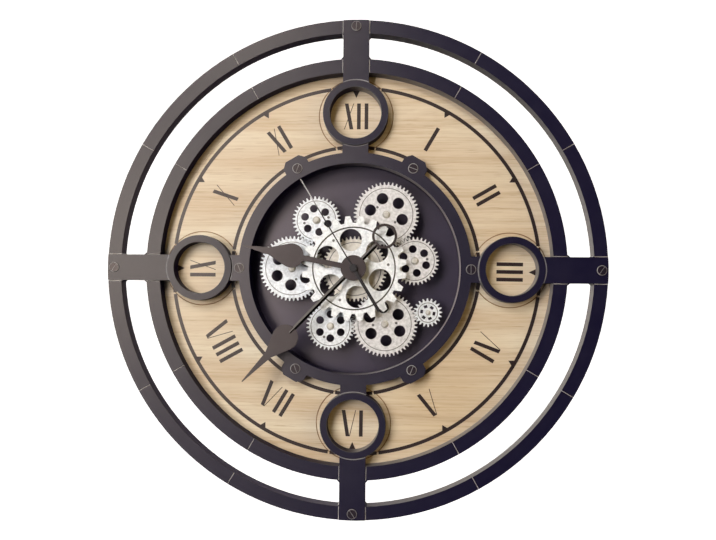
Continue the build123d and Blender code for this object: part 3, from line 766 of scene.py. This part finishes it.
def add_piece(shape: Shape, name: str, rounding: Rounding | None = None, cutter: Piece | None = None,
              node: str | None = None) -> None:
    """Builds a new piece on the clock's case.

    Args:
        shape: The piece's gathered mesh.
        name: Its name.
        rounding: How its edges are rounded, if they are.
        cutter: What is cut out of it, if anything.
        node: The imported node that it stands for, if any.
    """
    piece = shape.build(name)
    Tidy.clean(piece, shape.finishes, rounding, cutter)
    if node is not None:
        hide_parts(node)
    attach(piece, "case")
    log.info("built %s on case", name)


def add_cutter(shape: Shape, name: str, body: str = "case") -> Piece:
    """Builds a hidden cutter that moves with a body.

    Args:
        shape: The cutter's gathered mesh, with the finishes of what it cuts in the same order.
        name: Its name.
        body: The body that carries it.

    Returns:
        The new object.
    """
    cutter = shape.build(name)
    cutter.hide_render = True
    cutter.display_type = "WIRE"
    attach(cutter, body)
    return cutter


@dataclass
class RingFrame:
    """Black outer ring, bezel ring, bars, medallions and window ring, with their screws.

    The section of a screw head gives its corners from its rim and its top. The slots of the screws are angles for
    each place, which is an angle clockwise from twelve.
    """

    outer_ring: Flat = (284.0, 300.0)
    bezel_ring: Flat = (236.5, 253.0)
    bar_front: float = 52.0
    bar_half_width: float = 16.2
    joint_width: float = 0.8
    bar_joint_width: float = 0.85
    joint_depth: float = 0.5
    joint_overrun: float = 2.0
    collar_width: float = 1.1
    collar_sides: int = 120
    trim: Finishes = (Finish.FRAME_EDGE, Finish.JOINT_HIGHLIGHT, Finish.COLLAR_HIGHLIGHT, Finish.RING_JOINT_HIGHLIGHT)
    rounding: Rounding = Rounding(0.7, Finish.FRAME_EDGE)
    bar_screw_circle: float = 292.0
    bar_slots: dict[int, float] = field(default_factory=lambda: {90: 55.0, 0: 86.0, 270: 60.0, 180: 125.0})
    window_screw_circle: float = 139.0
    window_slots: dict[int, float] = field(default_factory=lambda: {
        90: 90.0, 30: 160.0, 330: 70.0, 270: 112.0, 210: 110.0, 150: 68.0})
    screw_radius: float = 6.0
    screw_height: float = 1.2
    screw_sides: int = 40
    screw_section: tuple[Flat, ...] = ((0.0, -1.2), (0.0, -0.4), (-0.3, -0.1), (-0.7, 0.0), (-0.9, -0.3))
    # The heads' rims take a pale colour as a painted highlight.
    screw_bands: Finishes = (Finish.SCREW_DARK, Finish.SCREW_EDGE_HIGHLIGHT, Finish.SCREW_EDGE_HIGHLIGHT, Finish.SCREW_DARK)
    screw_rounding: Rounding = Rounding(0.12, Finish.SCREW_EDGE_HIGHLIGHT, 1)
    slot_half_length: float = 5.1
    slot_half_width: float = 0.325
    slot_depth: float = 0.7
    slot_overcut: float = 1.0

    def paint(self, black: Finish = Finish.FRAME_BLACK) -> Finishes:
        """A black paint with the finishes of its edges and score lines."""
        return black, *self.trim

    def joints(self, name: str, radii: Flat) -> Piece:
        """Cutter for the score lines where a ring's segments meet each other and the bars.

        Args:
            name: The cutter's name.
            radii: The ring's inner and outer radius.

        Returns:
            The hidden cutter.
        """
        shape = Shape(*self.paint())
        ends = radii[0] - self.joint_overrun, radii[1] + self.joint_overrun
        # The score lines take pale colours as painted highlights.
        shape.use(Finish.RING_JOINT_HIGHLIGHT)
        for hour in PLAIN_HOURS:
            start, end = (turned(radius, HOUR_ANGLE * hour) for radius in ends)
            shape.groove(start, end, self.joint_width, self.joint_depth, FRAME_FRONT)
        shape.use(Finish.JOINT_HIGHLIGHT)
        for angle in QUARTERS:
            out, along = Vector(turned(1, angle)), Vector(turned(self.bar_half_width, angle + 90))
            for side in (-along, along):
                start, end = (tuple(out * radius + side) for radius in ends)
                shape.groove(start, end, self.bar_joint_width, self.joint_depth, FRAME_FRONT)
        return add_cutter(shape, name)

    def collars(self, name: str, level: float) -> Piece:
        """Cutter for the score lines where bars or necks meet the medallions.

        Args:
            name: The cutter's name.
            level: Level of the bars' or necks' front.

        Returns:
            The hidden cutter.
        """
        shape = Shape(*self.paint())
        # The collar lines take a pale colour as a painted highlight.
        shape.use(Finish.COLLAR_HIGHLIGHT)
        radius, wide, deep = MEDALLION_RADIUS, self.collar_width, self.joint_depth
        section = ((radius - wide, level + deep), (radius + 2 * wide, level + deep), (radius, level - deep))
        for angle in QUARTERS:
            shape.turned_ring(turned(MEDALLION_PITCH, angle), section, self.collar_sides)
        return add_cutter(shape, name)

    def screws(self, node: str, circle: float, level: float, slots: dict[int, float]) -> None:
        """Builds round slotted heads in place of a node.

        Args:
            node: The node that they stand for.
            circle: Radius of the circle that they lie on.
            level: Level of the surface below them.
            slots: Slot angle for each place.
        """
        heads, cuts = (Shape(Finish.SCREW_DARK, Finish.SCREW_EDGE_HIGHLIGHT) for _ in range(2))
        # The slots' walls take a pale colour as a painted highlight.
        cuts.use(Finish.SCREW_EDGE_HIGHLIGHT)
        top = level + self.screw_height
        section = [(self.screw_radius + r, top + h) for r, h in self.screw_section]
        half, wide = self.slot_half_length, self.slot_half_width
        for place, slot in slots.items():
            center = turned(circle, place)
            heads.turned_knob(center, section, self.screw_sides, self.screw_bands)
            turn = Matrix.Rotation(math.radians(slot), 2)
            corners = (turn @ Vector(p) for p in ((-half, -wide), (half, -wide), (half, wide), (-half, wide)))
            outline = [(center[0] + p.x, center[1] + p.y) for p in corners]
            cuts.prism(outline, top - self.slot_depth, top + self.slot_overcut)
        cutter = add_cutter(cuts, f"{node}_slot_cutter")
        add_piece(heads, f"{node}_heads", self.screw_rounding, cutter, node)

    def build(self) -> None:
        """Builds and dresses the whole frame."""
        for name, radii, black in (("outer_ring", self.outer_ring, Finish.OUTER_BLACK),
                                   ("bezel_ring", self.bezel_ring, Finish.FRAME_BLACK)):
            finish_node(name, self.paint(black), self.rounding, self.joints(f"{name}_joint_cutter", radii))
        finish_node("medallions", self.paint(), self.rounding)
        for name, level, black in (("spokes", self.bar_front, Finish.FRAME_BLACK),
                                   ("window_ring", FRAME_FRONT, Finish.WINDOW_BLACK)):
            finish_node(name, self.paint(black), self.rounding, self.collars(f"{name}_collar_cutter", level))
        self.screws("spoke_screws", self.bar_screw_circle, self.bar_front, self.bar_slots)
        self.screws("window_screws", self.window_screw_circle, FRAME_FRONT, self.window_slots)


class Stroke(Enum):
    """Widths of the numerals' strokes in millimetres."""

    BAR = 4.5
    HAIR = 0.9


class Top(Enum):
    """Where the top of a numeral points, as a factor on the way outwards."""

    OUTWARD = 1.0
    INWARD = -1.0


@dataclass(frozen=True)
class Letter:
    """One letter of a numeral: its half room and its strokes as (top x, bottom x, width)."""

    room: float
    strokes: tuple[tuple[float, float, Stroke], ...]


LETTERS = {
    "I": Letter(4.65, ((0.0, 0.0, Stroke.BAR),)),
    "V": Letter(10.35, ((-6.5, -1.1, Stroke.BAR), (8.3, 1.2, Stroke.HAIR))),
    "X": Letter(7.35, ((-3.05, 3.05, Stroke.BAR), (5.7, -5.7, Stroke.HAIR))),
}
NUMERALS = ("I", "II", "III", "IV", "V", "VI", "VII", "VIII", "IX", "X", "XI", "XII")


@dataclass
class OakDial:
    """Oak board with its printed arcs, ticks and numerals, and a scored circle round each medallion."""

    front: float = 36.0
    ink: float = 0.06
    outer_arc: float = 223.5
    inner_arc: float = 150.8
    arc_width: float = 4.3
    print_drop: float = 1.2
    overlap: float = 1.0
    score_radius: float = 45.2
    score_half_width: float = 0.6
    score_depth: float = 0.6
    score_overcut: float = 0.3
    score_sides: int = 96
    opening_radius: float = 127.4
    opening_sides: int = 180
    plate_front: float = 24.0
    numeral_height: float = 31.8
    numeral_circle: float = 184.0
    numeral_reach: dict[int, float] = field(default_factory=lambda: {
        1: 184.0, 2: 183.2, 4: 185.6, 5: 186.5, 7: 185.0})
    numeral_turn: dict[int, float] = field(default_factory=lambda: {
        1: 0.2, 2: 0.28, 3: 0.6, 4: 0.15, 5: 0.4, 6: 0.45, 7: 0.9, 8: 0.9, 10: -0.6, 11: -0.8})
    inward_hours: Sequence[int] = (4, 5, 6, 7, 8)
    tick_half_base: float = 4.1
    tick_height: float = 7.2
    pointer_angles: Sequence[float] = (0.0, 90.6, 180.3, 270.0)
    pointer_circle: float = 218.5
    pointer_half_base: float = 3.9
    pointer_height: float = 8.4
    finishes: Finishes = (Finish.OAK, Finish.OAK_CUT_AND_SHADE, Finish.OPENING_BLACK)

    def board_cutter(self) -> Piece:
        """Cutter for the scored circles round the medallions and the painted wall of the opening.

        Returns:
            The hidden cutter.
        """
        shape = Shape(*self.finishes)
        # The scored circles take cut oak with painted shade.
        shape.use(Finish.OAK_CUT_AND_SHADE)
        radius, top = self.score_radius, self.front + self.score_overcut
        wide = self.score_half_width * (1 + self.score_overcut / self.score_depth)
        section = ((radius - wide, top), (radius + wide, top), (radius, self.front - self.score_depth))
        for angle in QUARTERS:
            shape.turned_ring(turned(MEDALLION_PITCH, angle), section, self.score_sides)
        shape.use(Finish.OPENING_BLACK)
        opening = ring_points((0.0, 0.0), self.opening_radius, self.opening_sides)
        shape.prism(opening, self.plate_front - self.overlap, self.front + self.overlap)
        return add_cutter(shape, "dial_board_cutter")

    def stamp(self, name: str, outlines: Iterable[Sequence[Flat]], drop: float = 0.0) -> None:
        """Prints some outlines on the board.

        Args:
            name: The piece's name.
            outlines: Their corners.
            drop: How far they lie below their true places.
        """
        shape = Shape(Finish.DIAL_INK)
        for outline in outlines:
            shape.prism(outline, self.front, self.front + self.ink)
        shape.lower(drop)
        add_piece(shape, name)

    @staticmethod
    def reach(radius: float, circle: float) -> float:
        """Angle in degrees from a medallion's middle to where a circle round it crosses an arc of a radius."""
        cosine = (radius**2 + MEDALLION_PITCH**2 - circle**2) / (2 * radius * MEDALLION_PITCH)
        return math.degrees(math.acos(cosine))

    def arcs(self, name: str, radius: float) -> None:
        """Prints one circle of arcs, cut through where the scored circles cross it.

        Args:
            name: The piece's name.
            radius: The arc's radius.
        """
        shape = Shape(Finish.DIAL_INK)
        outside = self.reach(radius, self.score_radius + self.score_half_width)
        inside = self.reach(radius, self.score_radius - self.score_half_width)
        hidden = self.reach(radius, MEDALLION_RADIUS - self.overlap)
        for start in QUARTERS:
            end = start + 90
            spans = (start + outside, end - outside), (start + hidden, start + inside), (end - inside, end - hidden)
            for span in spans:
                shape.arc_band(radius, self.arc_width, span, self.front, self.front + self.ink)
        shape.lower(self.print_drop)
        add_piece(shape, name)

    @staticmethod
    def wedge(angle: float, radius: float, half_base: float, height: float) -> list[Flat]:
        """Outline of a triangle at an angle, with its base at a radius, that points to the clock's axis."""
        corners = ((radius, -half_base), (radius, half_base), (radius - height, 0.0))
        return [tuple(Vector(turned(out, angle)) + Vector(turned(along, angle + 90))) for out, along in corners]

    def numeral(self, hour: int, text: str, top: Top) -> list[list[Flat]]:
        """Outlines of the strokes of one numeral.

        Args:
            hour: Where it stands.
            text: Its letters.
            top: Where its top points.

        Returns:
            The corners of each.
        """
        strokes, place = [], 0.0
        for i, letter in enumerate(text):
            if i:
                place += LETTERS[text[i - 1]].room + LETTERS[letter].room
            strokes += [(a + place, b + place, w.value / 2) for a, b, w in LETTERS[letter].strokes]
        low = min(min(a, b) - w for a, b, w in strokes)
        high = max(max(a, b) + w for a, b, w in strokes)
        middle, half = (low + high) / 2, self.numeral_height / 2
        plain = self.numeral_reach.get(hour, self.numeral_circle)
        out = Vector(turned(1, HOUR_ANGLE * hour + self.numeral_turn.get(hour, 0.0)))
        center = out * (plain if hour in PLAIN_HOURS else MEDALLION_PITCH)
        up = out * top.value
        right = Vector((up.y, -up.x))
        outlines = []
        for a, b, w in strokes:
            corners = ((a - w, half), (b - w, -half), (b + w, -half), (a + w, half))
            outlines.append([tuple(center + right * (x - middle) + up * z) for x, z in corners])
        return outlines

    def build(self) -> None:
        """Builds and dresses the dial."""
        finish_node("dial_board", self.finishes, cutter=self.board_cutter())
        self.arcs("outer_arc_print", self.outer_arc)
        self.arcs("inner_arc_print", self.inner_arc)
        tick = self.outer_arc - self.overlap, self.tick_half_base, self.tick_height
        self.stamp("tick_print", (self.wedge(HOUR_ANGLE * hour, *tick) for hour in PLAIN_HOURS), self.print_drop)
        pointer = self.pointer_circle, self.pointer_half_base, self.pointer_height
        self.stamp("pointer_print", (self.wedge(angle, *pointer) for angle in self.pointer_angles))
        for hour, text in enumerate(NUMERALS, 1):
            top = Top.INWARD if hour in self.inward_hours else Top.OUTWARD
            self.stamp(f"numeral_{hour}", self.numeral(hour, text, top))


@dataclass(frozen=True)
class Cuts:
    """What is cut into a kind of gear: its rim groove, its round holes and its small marks."""

    rim_groove: float
    groove_width: float
    hole_circle: float = 0.0
    hole_radius: float = 0.0
    holes: int = 0
    mark_circle: float = 0.0
    marks: int = 0
    front: float = GEAR_FRONT
    rounding: Rounding | None = None


class Kind(Enum):
    """The kinds of gear."""

    LARGE = Cuts(32.0, 0.9, 20.0, 6.9, 6, 14.0, 2)
    SMALL = Cuts(23.4, 0.8, 14.5, 4.75, 6, 15.0, 2)
    PINION = Cuts(11.6, 0.8)
    # The crown's rounded edges take painted shade.
    CROWN = Cuts(48.9, 1.6, 34.0, 13.2, 6, 41.0, 3, front=59.0, rounding=Rounding(0.45, Finish.GEAR_WALL_SHADE))
    CENTER = Cuts(32.0, 1.0)


@dataclass(frozen=True)
class Wheel:
    """One gear, with the angles of its first hole and first mark, counter-clockwise from the right."""

    node: str
    body: str
    kind: Kind
    first_hole: float = 0.0
    first_mark: float = 0.0
    silver: Finish = Finish.GEAR_SILVER
    groove: Finish = Finish.GEAR_GROOVE_SHADE

    @property
    def center(self) -> Flat:
        """Place of the axis that the gear turns on."""
        x, _, z = next(joint["pos_m"] for joint in frame["joints"] if joint["child"] == self.body)
        return x / MM, z / MM

    @property
    def finishes(self) -> Finishes:
        """The finishes of its face, its groove and its holes; the groove and the holes take painted shade."""
        return self.silver, self.groove, Finish.GEAR_WALL_SHADE


@dataclass
class GearWindow:
    """Dark plate, posts, caps and the silver gears."""

    overcut: float = 0.4
    groove_depth: float = 0.6
    groove_sides: int = 96
    mark_radius: float = 1.6
    mark_depth: float = 0.5
    mark_sides: int = 16
    hole_depth: float = 9.0
    hole_sides: int = 48
    plate: Row = Row(("gear_plate",), (Finish.PLATE_DARK, Finish.FRAME_EDGE), Rounding(0.3, Finish.FRAME_EDGE))
    rows: tuple[Row, ...] = (
        Row(("gear_posts",), (Finish.CONTACT,), Rounding(0.2)),
        Row(("post_caps", "drive_shaft"), (Finish.CAP_PALE,), Rounding(0.9, steps=4)),
        Row(("center_bush", "bush_nut", "wheel_clip"), (Finish.BRASS,), Rounding(0.3)),
        Row(("center_sleeve",), (Finish.GEAR_SILVER,), Rounding(0.3)),
    )
    wheels: Sequence[Wheel] = (
        Wheel("gear_left", "left_gear", Kind.LARGE, 26.5, 292.0),
        Wheel("gear_upper_right", "upper_right_gear", Kind.LARGE, 43.6, 140.0, Finish.GEAR_REFLECTION_AND_SHADE),
        Wheel("gear_lower_right", "lower_right_gear", Kind.LARGE, 35.5, 5.5, Finish.GEAR_REFLECTION_AND_SHADE),
        Wheel("gear_upper_left", "upper_left_gear", Kind.SMALL, 43.5, 13.5),
        Wheel("gear_right", "right_gear", Kind.SMALL, 40.0, 8.5, Finish.GEAR_REFLECTION_AND_SHADE),
        Wheel("gear_lower_left", "lower_left_gear", Kind.SMALL, 30.0, 240.0),
        Wheel("drive_pinion", "drive", Kind.PINION),
        Wheel("crown_gear", "center_wheel", Kind.CROWN, 36.6, 6.6, Finish.CROWN_SILVER, Finish.GEAR_SHADE),
        Wheel("center_gear", "center_wheel", Kind.CENTER, silver=Finish.GEAR_BEIGE),
    )

    def cutter(self, wheel: Wheel) -> Piece:
        """Cutter for a gear's groove, small marks and round holes.

        Args:
            wheel: The gear.

        Returns:
            The hidden cutter.
        """
        cuts, center = wheel.kind.value, wheel.center
        shape = Shape(*wheel.finishes)
        # The groove takes painted shade.
        shape.use(wheel.groove)
        top, floor = cuts.front + self.overcut, cuts.front - self.groove_depth
        inner, outer = cuts.rim_groove - cuts.groove_width / 2, cuts.rim_groove + cuts.groove_width / 2
        section = ((inner, floor), (inner, top), (outer, top), (outer, floor))
        shape.turned_ring(center, section, self.groove_sides)
        # Marks and hole walls take painted shade.
        shape.use(Finish.GEAR_WALL_SHADE)
        for place in ring_points(center, cuts.mark_circle, cuts.marks, wheel.first_mark):
            outline = ring_points(place, self.mark_radius, self.mark_sides)
            shape.prism(outline, cuts.front - self.mark_depth, top)
        for place in ring_points(center, cuts.hole_circle, cuts.holes, wheel.first_hole):
            outline = ring_points(place, cuts.hole_radius, self.hole_sides)
            shape.prism(outline, cuts.front - self.hole_depth, top)
        return add_cutter(shape, f"{wheel.node}_cutter", wheel.body)

    def build(self) -> None:
        """Builds and dresses everything in the window."""
        self.plate.build()
        for wheel in self.wheels:
            finish_node(wheel.node, wheel.finishes, wheel.kind.value.rounding, self.cutter(wheel))
        for row in self.rows:
            row.build()


@dataclass
class Hands:
    """The three hands and their arbors."""

    rows: tuple[Row, ...] = (
        Row(("hour_hand", "minute_hand"), (Finish.HAND_DARK,), Rounding(0.3)),
        Row(("second_hand",), (Finish.NEEDLE,), Rounding(0.15)),
        Row(("hour_tube", "minute_arbor", "second_arbor"), (Finish.BRASS,)),
    )

    def build(self) -> None:
        """Dresses the hands."""
        for row in self.rows:
            row.build()


@dataclass
class RearWorks:
    """Sheet pan, movement, motor and cells behind the plate."""

    rows: tuple[Row, ...] = (
        Row(("rear_cover",), (Finish.COVER_COAT, Finish.FRAME_EDGE), Rounding(0.5, Finish.FRAME_EDGE)),
        Row(("rear_screws",), (Finish.SCREW_DARK, Finish.SCREW_EDGE_HIGHLIGHT), Rounding(0.2, Finish.SCREW_EDGE_HIGHLIGHT)),
        Row(("movement_case", "drive_case", "set_knob"), (Finish.CASE_PLASTIC,), Rounding(0.5)),
        Row(("movement_cell", "drive_cells"), (Finish.CELL_SLEEVE,), Rounding(0.4)),
        Row(("cell_contacts", "drive_contacts"), (Finish.CONTACT,)),
    )

    def build(self) -> None:
        """Dresses the works."""
        for row in self.rows:
            row.build()


class Use(Enum):
    """What a lamp gives to the surfaces, as (diffuse light, sheen)."""

    FULL = (True, True)
    SHEEN = (False, True)
    FILL = (True, False)


@dataclass(frozen=True)
class Lamp:
    """One square soft light that faces the clock, with its place and side in metres."""

    name: str
    place: Triple
    side: float
    radiance: float
    color: Color = (1.0, 0.95, 0.90)
    use: Use = Use.FULL

    def hang(self) -> None:
        """Hangs the lamp in the scene."""
        lamp = bpy.data.lights.new(self.name, "AREA")
        lamp.size = self.side
        lamp.energy = self.radiance * math.pi * self.side**2
        lamp.color = self.color
        hung = put(self.name, lamp)
        hung.visible_diffuse, hung.visible_glossy = self.use.value
        hung.location = self.place
        hung.rotation_euler = (-Vector(self.place)).to_track_quat("-Z", "Y").to_euler()


@dataclass
class Studio:
    """Pale floor, light walls all round and soft lamps, with sizes in metres."""

    wall_place: float = 2.5
    wall_foot: float = -2.5
    floor_height: float = -1.5
    reach: float = 8.0
    room_color: Color = (0.85, 0.88, 1.0)
    room_strength: float = 0.03
    lamps: Sequence[Lamp] = (
        Lamp("key_lamp", (-0.95, -1.6, 0.10), 0.8, 9.8),
        Lamp("upper_left_lamp", (-1.12, -1.6, 0.64), 1.2, 2.3),
        Lamp("lower_left_lamp", (-0.70, -1.6, -0.70), 0.9, 1.5, use=Use.SHEEN),
        Lamp("upper_lamp", (-0.55, -1.6, 1.15), 0.5, 20.7),
        Lamp("right_lamp", (1.7, -1.2, 0.3), 1.4, 2.2, (1.0, 0.74, 0.30), Use.FILL),
        Lamp("rear_lamp", (-0.9, 1.5, 0.6), 1.6, 5.0),
        Lamp("rear_fill_lamp", (1.3, 1.3, 0.2), 1.4, 2.0),
    )

    @staticmethod
    def sheet(name: str, corners: Sequence[Triple], paper: Finish) -> None:
        """Builds one flat sheet of the stage, which gives the clock no light.

        Args:
            name: The sheet's name.
            corners: Its four corners in metres.
            paper: Its finish.
        """
        data = bpy.data.meshes.new(name)
        data.from_pydata(corners, [], [(0, 1, 2, 3)])
        sheet = put(name, data)
        dress(sheet, (paper,))
        sheet.visible_diffuse = sheet.visible_glossy = False

    def build(self) -> None:
        """Builds the stage and hangs the lamps."""
        far, wide, low, foot = self.wall_place, self.reach, self.floor_height, self.wall_foot
        near_left, near_right, far_right, far_left = plan = (-wide, -wide), (wide, -wide), (wide, far), (-wide, far)
        for name, left, right in (("light_wall", far_left, far_right), ("left_wall", near_left, far_left),
                                  ("right_wall", far_right, near_right), ("front_wall", near_right, near_left)):
            self.sheet(name, ((*left, foot), (*right, foot), (*right, wide), (*left, wide)), Finish.WALL_WHITE)
        self.sheet("pale_floor", [(*corner, low) for corner in plan], Finish.FLOOR_PALE)
        world = bpy.data.worlds.new("pale_room")
        world.use_nodes = True
        room = world.node_tree.nodes["Background"]
        room.inputs["Color"].default_value = (*self.room_color, 1.0)
        room.inputs["Strength"].default_value = self.room_strength
        scene = bpy.context.scene
        scene.world = world
        scene.view_settings.view_transform = "Standard"
        for lamp in self.lamps:
            lamp.hang()


@dataclass
class PhotoCamera:
    """Camera that sees the clock from the photograph's place, with sizes in metres, degrees and pixels."""

    place: Triple = (0.03793, -0.82138, -0.0358)
    tilt: Triple = (-0.9084, 2.4298, 0.5266)
    focal_px: float = 644.225
    middle_px: Flat = (358.255, 288.671)
    image_px: Flat = (716.0, 540.0)
    sensor_mm: float = 36.0
    nearest: float = 0.01

    def build(self) -> None:
        """Places the camera and makes it the scene's."""
        lens = bpy.data.cameras.new("photo_camera")
        lens.sensor_width = self.sensor_mm
        lens.lens = self.focal_px / self.image_px[0] * self.sensor_mm
        lens.shift_x = (self.image_px[0] / 2 - self.middle_px[0]) / self.image_px[0]
        lens.shift_y = (self.middle_px[1] - self.image_px[1] / 2) / self.image_px[0]
        lens.clip_start = self.nearest
        turn = Matrix.Identity(3)
        for axis, angle in zip("XYZ", self.tilt):
            turn = turn @ Matrix.Rotation(math.radians(angle), 3, axis)
        level = Matrix(((1, 0, 0), (0, 0, -1), (0, 1, 0)))
        right, down, forward = turn @ level
        columns = Matrix((right, -down, -forward)).transposed()
        camera = put("photo_camera", lens)
        camera.matrix_world = Matrix.Translation(self.place) @ columns.to_4x4()
        bpy.context.scene.camera = camera


def main() -> None:
    """Builds the clock's looks, the studio and the camera."""
    logging.basicConfig(level=logging.INFO, format="%(name)s: %(message)s")
    for assembly in (RingFrame(), OakDial(), GearWindow(), Hands(), RearWorks(), Studio(), PhotoCamera()):
        assembly.build()


if __name__ == "__main__":
    main()
